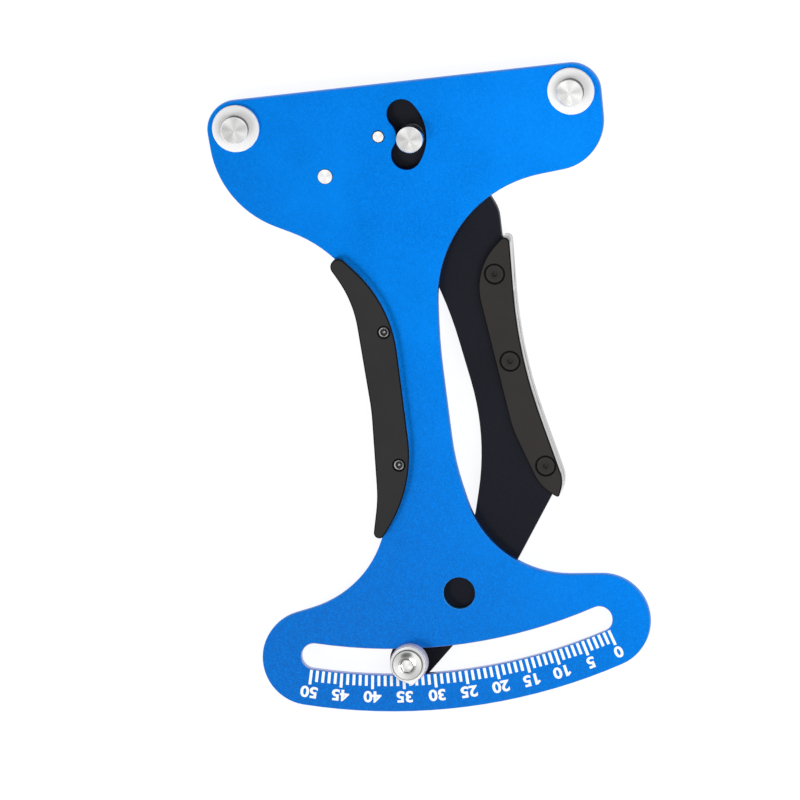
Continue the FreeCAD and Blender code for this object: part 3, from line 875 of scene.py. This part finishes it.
anchor = turned("spring_stud", ANCHOR, HOOK_HEAD + [
    (HOOK_NECK_R, COLLAR_BACK), (COLLAR_R, COLLAR_BACK), (COLLAR_R, PLATE_BACK), (RIVET_R, PLATE_BACK),
    (RIVET_R, PLATE_FACE), (SPREAD_R, PLATE_FACE), (SPREAD_R, RIVET_TOP - RIVET_EDGE),
    (SPREAD_R - RIVET_EDGE, RIVET_TOP), (0.0, RIVET_TOP)], 56)
smooth_by(anchor)
coat(anchor, rivet_metal("spring stud", ANCHOR), painted_shade_edge)
# the rivet's rim painted dark: a painted shadow outline
finish_rim(anchor, ANCHOR, SPREAD_R - RIVET_EDGE, PLATE_FACE)
fit(anchor, "frame", "bright_steel", "spring_anchor_pin")
ear = turned("spring_ear_stud", EAR, HOOK_HEAD + [
    (HOOK_NECK_R, LEVER_BACK), (EAR_R, LEVER_BACK), (EAR_R, LEVER_FACE - EAR_EDGE),
    (EAR_R - EAR_EDGE, LEVER_FACE), (0.0, LEVER_FACE)], 56)
smooth_by(ear)
coat(ear, turned_metal("ear stud", EAR, STEEL, 0.25, painted_fans=0.35, fan_count=3.0))
fit(ear, "lever", "bright_steel", "lever_spring_pin")


def coil_spring():
    """One wire: a loop round each pin and open turns between them."""
    along = (ANCHOR - EAR).normalized()
    across = Vector((-along.y, along.x, 0.0))
    up = Vector((0.0, 0.0, 1.0))
    axis = EAR + up * (SPRING_Z * MM)
    length = (ANCHOR - EAR).length / MM
    coil_start, coil_end = EAR_GAP, length - ANCHOR_GAP

    def at(x, y, z):
        return axis + (along * x + across * y + up * z) * MM

    def loop(pin_at, first, steps):
        turns = [math.radians(first - LOOP_STEP * step) for step in range(steps)]
        return [at(pin_at + LOOP_R * math.cos(turn), LOOP_R * math.sin(turn), 0.0) for turn in turns]

    route = loop(0.0, -40.0, 9)
    route.append(at(LOOP_R + 0.6, COIL_R * 0.55, 0.0))
    route.append(at(coil_start - 0.6, COIL_R * 0.95, 0.0))
    for step in range(COILS * PER_TURN + 1):
        turn = FULL_TURN * step / PER_TURN
        run = coil_start + (coil_end - coil_start) * step / (COILS * PER_TURN)
        route.append(at(run, COIL_R * math.cos(turn), COIL_R * math.sin(turn)))
    route.append(at(coil_end + 0.5, COIL_R * 0.9, 0.0))
    route += loop(length, 130.0, 8)
    wire = added(bpy.ops.curve.primitive_nurbs_path_add, location=(0.0, 0.0, 0.0))
    wire.name = "coil_spring"
    wire.data.splines.clear()
    spline = wire.data.splines.new("NURBS")
    spline.points.add(len(route) - 1)
    for point, place in zip(spline.points, route):
        point.co = (*place, 1.0)
    spline.order_u = 4
    spline.use_endpoint_u = True
    spline.resolution_u = 2
    wire.data.bevel_depth = WIRE_R * MM
    wire.data.bevel_resolution = 3
    wire.data.use_fill_caps = True
    pick(wire)
    bpy.ops.object.convert(target="MESH")
    spring = bpy.context.object
    bpy.ops.object.shade_smooth()
    return spring, at(coil_end, 0.0, 0.0), at(coil_start, 0.0, 0.0)


spring, anchor_end, ear_end = coil_spring()
coat(spring, spring_steel)
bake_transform(spring)
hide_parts("return_spring")


# ---- grip screws and nuts ----

NUT_BACK, NUT_FRONT = heights("left_grip_nuts")
LEFT_TOP = heights("left_grip_front")[1] - 0.2  # tops of the heads, below the grips' faces
RIGHT_TOP = heights("right_grip_front")[1] - 0.15
LEFT_SHANK_R = 1.25
LEFT_HEAD_R = 1.78
RIGHT_SHANK_R = 1.5
RIGHT_HEAD_R = 3.12
POINT = 0.25
HEAD_EDGE = 0.1


def shank_and_head(shank, head, top, thick):
    """Profile of a screw from its point up to the edge of its head's top."""
    return [(0.0, NUT_BACK), (shank - POINT, NUT_BACK), (shank, NUT_BACK + POINT), (shank, top - thick),
            (head, top - thick), (head, top - HEAD_EDGE), (head - HEAD_EDGE, top)]


def left_grip_screw(centre, top):
    """Black head; its socket has a countersunk mouth and a pin in the middle, both painted bright as glints.
    """
    thick, mouth, throat, sunk, deep = 1.4, 1.66, 1.3, 0.3, 0.7
    pin_r, pin_top, pin_edge = 0.45, 0.25, 0.1
    screw = turned("left_grip_cap_screws", centre, shank_and_head(LEFT_SHANK_R, LEFT_HEAD_R, top, thick) + [
        (mouth, top), (throat, top - sunk), (throat, top - deep), (pin_r, top - deep),
        (pin_r, top - pin_top - pin_edge), (pin_r - pin_edge, top - pin_top), (0.0, top - pin_top)], 48)
    smooth_by(screw, 25.0)
    coat(screw, blackened, nickel_with_painted_glint, bright_side)
    # painted glint: the mouth's slope in a brighter metal
    refinish(screw, 1, centre, lambda normal, level, away: top - sunk < level < top - 0.01 and away < mouth)
    # painted glint: the pin in a bright metal
    refinish(screw, 2, centre, lambda normal, level, away: top - 0.4 < level and away < 0.5)
    return screw


def right_grip_screw(centre, top):
    """Head of the grip's own colour with a shallow step and a small hexagon socket."""
    thick, step, sunk, key, deep, turn = 1.5, 1.7, 0.12, 2.0, 0.9, 12.0
    profile = shank_and_head(RIGHT_SHANK_R, RIGHT_HEAD_R, top, thick)
    profile += [(step + HEAD_EDGE, top), (step, top - sunk), (0.0, top - sunk)]
    screw = turned("right_grip_cap_screws", centre, profile, 56)
    cut(screw, hex_bar("key", centre, key, top - deep, top + PAST, turn))
    smooth_by(screw, 25.0)
    coat(screw, right_grip_skin)
    return screw


left_screws = copied_to(left_grip_screw(LEFT_SCREWS[0], LEFT_TOP), LEFT_SCREWS)
fit(left_screws, "frame", "dark_steel", "left_grip_screws")
right_screws = copied_to(right_grip_screw(RIGHT_SCREWS[0], RIGHT_TOP), RIGHT_SCREWS)
fit(right_screws, "lever", "dark_steel", "right_grip_screws")
for side, body, places, shank, across in (
        ("left", "frame", LEFT_SCREWS, LEFT_SHANK_R, 5.0),
        ("right", "lever", RIGHT_SCREWS, RIGHT_SHANK_R, 5.5)):
    nuts = hex_nut(f"{side}_grip_hex_nuts", places[0], across, shank, NUT_BACK, NUT_FRONT)
    nuts = copied_to(nuts, places)
    coat(nuts, zinc)
    fit(nuts, body, "bright_steel", f"{side}_grip_nuts")


# ---- pointer ----

BOLT_R = 3.0
BOLT_HOLE_R = 3.1
BOLT_EDGE = 0.5
WASHER_BACK, WASHER_TOP = heights("pointer_washer")
HEAD_SEAT = heights("pointer_disc")[1]
BOLT_TIP, HEAD_TOP = heights("pointer_screw")
SLEEVE_R = 4.3
DISH_R = 6.5
NUT_ACROSS = 10.0
HEAD_R = 5.25
HEAD_FOOT = 0.2  # corner at the head's seat
BALL_R = 7.0  # roundness of the head
RIM = 0.16  # outer edge of the head, painted dark as shade
MOUTH_R = 1.95  # mouth of the socket, at its foot
MOUTH_DEPTH = 0.45
SOCKET_ACROSS = 4.0
SOCKET_TURN = 20.0  # degrees
SOCKET_DEPTH = 1.7
SOCKET_REACH = 2.35  # the socket and its mouth are nearer than this to the screw's centre

sleeve = turned_ring("slot_sleeve", BOLT, BOLT_HOLE_R, SLEEVE_R, LEVER_FACE, WASHER_BACK, 0.15)
coat(sleeve, nylon)
fit(sleeve, "lever", "nylon", "guide_sleeve")
dish = turned_ring("pointer_backing_washer", BOLT, BOLT_HOLE_R, DISH_R, WASHER_BACK, WASHER_TOP, 0.1, 96)
# painted reflection and shade: the washer coloured lilac
coat(dish, lilac_painted_reflection)
fit(dish, "lever", "satin_aluminium", "pointer_washer")
tip = from_node("pointer_plate", "pointer_disc")
coat(tip, turned_metal("pointer plate", BOLT, ALUMINIUM, 0.5, painted_fans=0.04, rings=0.15, metallic=0.05), painted_shade_rim)
# the pointer's rounded edges take the dark finish: a painted shadow outline
break_edges(tip, 0.1, 2, 1)
fit(tip, "lever", "satin_aluminium", "pointer_disc")


def button_screw():
    """Domed head with a hexagon socket, its mouth turned out."""
    land = HEAD_R / 2
    drop = math.sqrt(BALL_R * BALL_R - HEAD_R * HEAD_R)
    rim = HEAD_TOP - HEAD_SEAT - math.sqrt(BALL_R * BALL_R - land * land) + drop
    radii = [land + (HEAD_R - land) * part for part in (1.0, 0.9, 0.8, 0.65, 0.5, 0.3, 0.1)]
    base = HEAD_SEAT + rim - drop
    dome = [(radius, base + math.sqrt(BALL_R * BALL_R - radius * radius)) for radius in radii]
    dome.append((land - 0.3, HEAD_TOP))
    profile = [(0.0, BOLT_TIP), (BOLT_R - BOLT_EDGE, BOLT_TIP), (BOLT_R, BOLT_TIP + BOLT_EDGE),
               (BOLT_R, HEAD_SEAT), (HEAD_R - HEAD_FOOT, HEAD_SEAT), (HEAD_R, HEAD_SEAT + HEAD_FOOT)]
    screw = turned("pointer_button_screw", BOLT, profile + dome + [(0.0, HEAD_TOP)], 96)
    low, high = HEAD_TOP - MOUTH_DEPTH, HEAD_TOP + 0.2
    wide = MOUTH_R + high - low
    cut(screw, turned("mouth", BOLT, [(0.0, low), (MOUTH_R, low), (wide, high), (0.0, high)], 64))
    cut(screw, hex_bar("key", BOLT, SOCKET_ACROSS, HEAD_TOP - SOCKET_DEPTH, HEAD_TOP + PAST, SOCKET_TURN))
    smooth_by(screw, 25.0)
    return screw


def in_socket(level, away):
    return HEAD_TOP - SOCKET_DEPTH - 0.01 < level < HEAD_TOP - 0.05 and away < SOCKET_REACH


button = button_screw()
# painted highlights: bright fans at the head's two sides, dark ones between; the socket painted brighter
# than the head against the shade in it
coat(button, turned_metal("button screw", BOLT, BUTTON, 0.18, painted_fans=0.34, rings=0.1, fan_count=2.0), painted_shade_rim,
     turned_metal("button socket painted bright", BOLT, POLISHED, 0.5, painted_fans=0.1, fan_count=3.0))
# the head's outer edge painted dark as shade
finish_rim(button, BOLT, HEAD_R - RIM, HEAD_SEAT)
# the socket takes the brighter finish: painted light
refinish(button, 2, BOLT, lambda normal, level, away: in_socket(level, away))
# the mouth's slope painted dark as shade
refinish(button, 1, BOLT, lambda normal, level, away: in_socket(level, away) and 0.6 < normal.z < 0.8)
fit(button, "lever", "bright_steel", "pointer_screw")
nut = hex_nut("pointer_hex_nut", BOLT, NUT_ACROSS, BOLT_R, *heights("pointer_nut"))
coat(nut, zinc)
fit(nut, "lever", "bright_steel", "pointer_nut")


# ---- printed scale ----

SLOT_EDGE_R = 188.7
ZERO_AT = 17.25  # degrees from straight down towards +X
DIVISIONS = 50
WIDEST_STEP = 0.6592  # degrees a division where the divisions are widest
WIDEST_AT = 31.0
NARROWING = 0.0001  # of a step, times the square of the divisions away from the widest
MARK_START = SLOT_EDGE_R + 0.35
MINOR_END = 192.6
MAJOR_END = 193.72
PRINT_MIDDLE = -1.0  # the print bends less than the slot: nearest to the pivot here, degrees
PRINT_BEND = 8.1  # millimetres outwards, times the square of the angle
MARK_WIDTH = 1.0
INK_UNDER = 0.01
INK_OVER = 0.02
NUMBER_R = 196.42
NUMBER_SIZE = 5.3
NUMBER_WEIGHT = 0.17
NUMBER_WIDTH = 1.14  # times the plain width
STROKE_LENGTH = 1.45  # stroke at the head of a figure 1
STROKE_WIDTH = 0.75
STROKE_AT = (-0.2, -0.72)  # its middle, from the figure's top left corner
STROKE_RISE = 39.0  # degrees
STROKE_INK = 1.2  # height over the plate, times the other ink's


def angle_of(value):
    """Where a value stands on the scale; the divisions narrow towards both ends."""
    narrowed = NARROWING * ((value - WIDEST_AT) ** 3 + WIDEST_AT ** 3) / 3
    return ZERO_AT - WIDEST_STEP * (value - narrowed)


def printed_at(radius, degrees):
    return radius + PRINT_BEND * math.radians(degrees - PRINT_MIDDLE) ** 2


def ink_bar(place, width, length, rise):
    """Bar of ink about a place, along X and Y."""
    bar = added(bpy.ops.mesh.primitive_plane_add, size=MM, location=place)
    open_mesh(bar)
    bpy.ops.transform.resize(value=(width, length, 1.0), center_override=place)
    bpy.ops.mesh.extrude_region_move(TRANSFORM_OT_translate={"value": (0.0, 0.0, rise * MM)})
    close_solid()
    return bar


def dial_mark(value):
    """One mark, from the slot's edge outwards."""
    degrees = angle_of(value)
    length = printed_at(MINOR_END if value % 5 else MAJOR_END, degrees) - MARK_START
    place = (PIVOT.x, PIVOT.y - (MARK_START + length / 2) * MM, (PLATE_FACE - INK_UNDER) * MM)
    mark = ink_bar(place, MARK_WIDTH, length, INK_UNDER + INK_OVER)
    turn_to(mark, degrees)
    return mark


def turn_to(piece, degrees):
    """Turns a mesh about the pivot, from straight down towards +X."""
    turn = Matrix.Rotation(math.radians(degrees), 4, "Z")
    piece.data.transform(Matrix.Translation(PIVOT) @ turn @ Matrix.Translation(-PIVOT))


def stroke_of_one(number):
    """Adds the short stroke that leads into a figure 1 at its head."""
    left = min(corner[0] for corner in number.bound_box)
    top = max(corner[1] for corner in number.bound_box)
    stroke = ink_bar((0.0, 0.0, -(INK_UNDER + INK_OVER) / 2 * MM), STROKE_LENGTH, STROKE_WIDTH,
                     INK_UNDER + STROKE_INK * INK_OVER)
    place = Vector((left + STROKE_AT[0] * MM, top + STROKE_AT[1] * MM, 0.0))
    turn = Matrix.Rotation(math.radians(STROKE_RISE), 4, "Z")
    stroke.data.transform(Matrix.Translation(place) @ turn)
    joined(number.name, [number, stroke])


def dial_number(value):
    """One number, its foot towards the slot."""
    bpy.ops.object.select_all(action="DESELECT")
    bpy.ops.object.text_add(location=(0.0, 0.0, 0.0))
    words = bpy.context.object
    words.data.body = str(value)
    words.data.size = NUMBER_SIZE * MM
    words.data.offset = NUMBER_WEIGHT * MM
    words.data.extrude = (INK_UNDER + INK_OVER) / 2 * MM
    words.data.resolution_u = 4
    bpy.ops.object.convert(target="MESH")
    number = bpy.context.object
    if str(value).startswith("1"):
        stroke_of_one(number)
    middle_x = sum(corner[0] for corner in number.bound_box) / 8
    middle_y = sum(corner[1] for corner in number.bound_box) / 8
    wide = Matrix.Diagonal((NUMBER_WIDTH, 1.0, 1.0, 1.0))
    centred = Matrix.Translation((-middle_x, -middle_y, 0.0))
    number.data.transform(Matrix.Rotation(math.pi, 4, "Z") @ wide @ centred)
    level = (PLATE_FACE + (INK_OVER - INK_UNDER) / 2) * MM
    radius = printed_at(NUMBER_R, angle_of(value))
    number.data.transform(Matrix.Translation((PIVOT.x, PIVOT.y - radius * MM, level)))
    turn_to(number, angle_of(value))
    return number


marks = joined("dial_marks", [dial_mark(value) for value in range(DIVISIONS + 1)])
coat(marks, ink)
fit(marks, "frame", "blue_anodised")
numbers = joined("dial_numbers", [dial_number(value) for value in range(0, DIVISIONS + 1, 5)])
open_mesh(numbers)
bpy.ops.mesh.remove_doubles(threshold=WELD / 2)
close_mesh()
coat(numbers, ink)
fit(numbers, "frame", "blue_anodised")


# ---- bench, lamps and camera ----

def seen_by(tree, *kinds):
    """1 for rays of some kinds."""
    rays = node(tree, "LightPath").outputs
    shown = rays[kinds[0]]
    for kind in kinds[1:]:
        shown = maths(tree, "ADD", shown, rays[kind])
    return node(tree, "Clamp", Value=shown).outputs["Result"]


# grey of the paper and its glow: as seen straight, as mirrored, and as it lights the object
PAPER_SEEN, GLOW_SEEN = 0.18, 0.89
PAPER_MIRRORED, GLOW_MIRRORED = 0.12, 0.90
PAPER_DARK, PAPER_LIGHT = 0.80, 0.82


def bench():
    """Pale floor: white where it is seen, with the shadow kept."""
    floor = added(bpy.ops.mesh.primitive_plane_add, size=6.0, location=(0.0, 0.0, 0.0))
    floor.name = "bench"
    material, tree, shader = new_material("bench paper", 0.9, 0.0)
    straight = seen_by(tree, "Is Camera Ray")
    mirrored = seen_by(tree, "Is Glossy Ray", "Is Transmission Ray")
    fibre = node(tree, "TexNoise", Vector=place_vector(tree), Scale=900.0, Detail=3.0).outputs["Fac"]
    paper = mixed(tree, straight, mixed(tree, fibre, grey(PAPER_DARK), grey(PAPER_LIGHT)), grey(PAPER_SEEN))
    glow = mixed(tree, straight, grey(0.0), grey(GLOW_SEEN))
    link_all(tree, shader, {
        "Base Color": mixed(tree, mirrored, paper, grey(PAPER_MIRRORED)),
        "Emission Color": mixed(tree, mirrored, glow, grey(GLOW_MIRRORED))})
    shader.inputs["Specular IOR Level"].default_value = 0.1
    shader.inputs["Emission Strength"].default_value = 1.0
    coat(floor, material)


OVERHEAD = 0.22  # strength straight above, where white is 1
CEILING = (0.55, 0.93)  # rise at which it starts to fall to that, and is there
DOORWAY = (-0.10, 0.83, 0.55)  # towards a wide dark doorway beyond the posts
DOORWAY_LEVEL = 0.2
DOORWAY_SHARE = 0.5  # its height, as a share of its width
DOORWAY_EDGE = (0.2, 0.36)  # where its soft edge starts and ends


def studio():
    """White surroundings with a darker ceiling and doorway."""
    world = bpy.data.worlds.new("studio")
    bpy.context.scene.world = world
    world.use_nodes = True
    tree = world.node_tree
    background = next(item for item in tree.nodes if item.type == "BACKGROUND")
    background.inputs["Color"].default_value = (1.0, 1.0, 1.0, 1.0)
    way = tree.nodes.new("ShaderNodeTexCoord").outputs["Generated"]
    rise = node(tree, "SeparateXYZ", Vector=way).outputs["Z"]
    ceiling = remap(tree, rise, *CEILING, 1.0, OVERHEAD)
    aside = node(tree, "Mapping", Vector=way, Scale=(DOORWAY_SHARE, 1.0, 1.0),
                 Location=(-DOORWAY[0] * DOORWAY_SHARE, -DOORWAY[1], -DOORWAY[2])).outputs["Vector"]
    distance = vector_maths(tree, "LENGTH", aside)["Value"]
    doorway = remap(tree, distance, *DOORWAY_EDGE, DOORWAY_LEVEL, 1.0)
    link_all(tree, background, {"Strength": maths(tree, "MULTIPLY", ceiling, doorway)})


def softbox(name, azimuth, elevation, distance, size, power):
    """Square lamp aimed at the middle of the object; azimuth from +X."""
    aim = Vector((0.0, 0.0, PLATE_FACE * MM))
    turn, rise = math.radians(azimuth), math.radians(elevation)
    away = Vector((math.cos(turn) * math.cos(rise), math.sin(turn) * math.cos(rise), math.sin(rise)))
    bpy.ops.object.light_add(type="AREA", location=aim + away * distance)
    lamp = bpy.context.object
    lamp.name = name
    lamp.data.size = size
    lamp.data.energy = power
    lamp.rotation_mode = "QUATERNION"
    lamp.rotation_quaternion = away.to_track_quat("Z", "Y")


VIEW_RIGHT = Vector((0.98134, -0.13561, -0.13633))
VIEW_UP = Vector((0.10973, 0.97714, -0.18210))
VIEW_FROM = Vector((0.15791, 0.16374, 0.97378))
VIEW_CENTRE = on_plate(-15.2, -100.85) + Vector((0.0, 0.0, 9.78)) * MM
VIEW_WIDTH = 0.27586
VIEW_DISTANCE = 1.0


def photographer():
    bpy.ops.object.camera_add()
    camera = bpy.context.object
    facing = Matrix((VIEW_RIGHT, VIEW_UP, VIEW_FROM)).transposed().to_4x4()
    camera.matrix_world = Matrix.Translation(VIEW_CENTRE + VIEW_FROM * VIEW_DISTANCE) @ facing
    camera.data.type = "ORTHO"
    camera.data.ortho_scale = VIEW_WIDTH
    bpy.context.scene.camera = camera


bench()
studio()
softbox("key_softbox", 208.0, 54.0, 2.0, 0.7, 8.0)
softbox("near_softbox", 0.0, 66.0, 0.5, 0.3, 1.0)
photographer()
bpy.context.scene.view_settings.view_transform = "Standard"
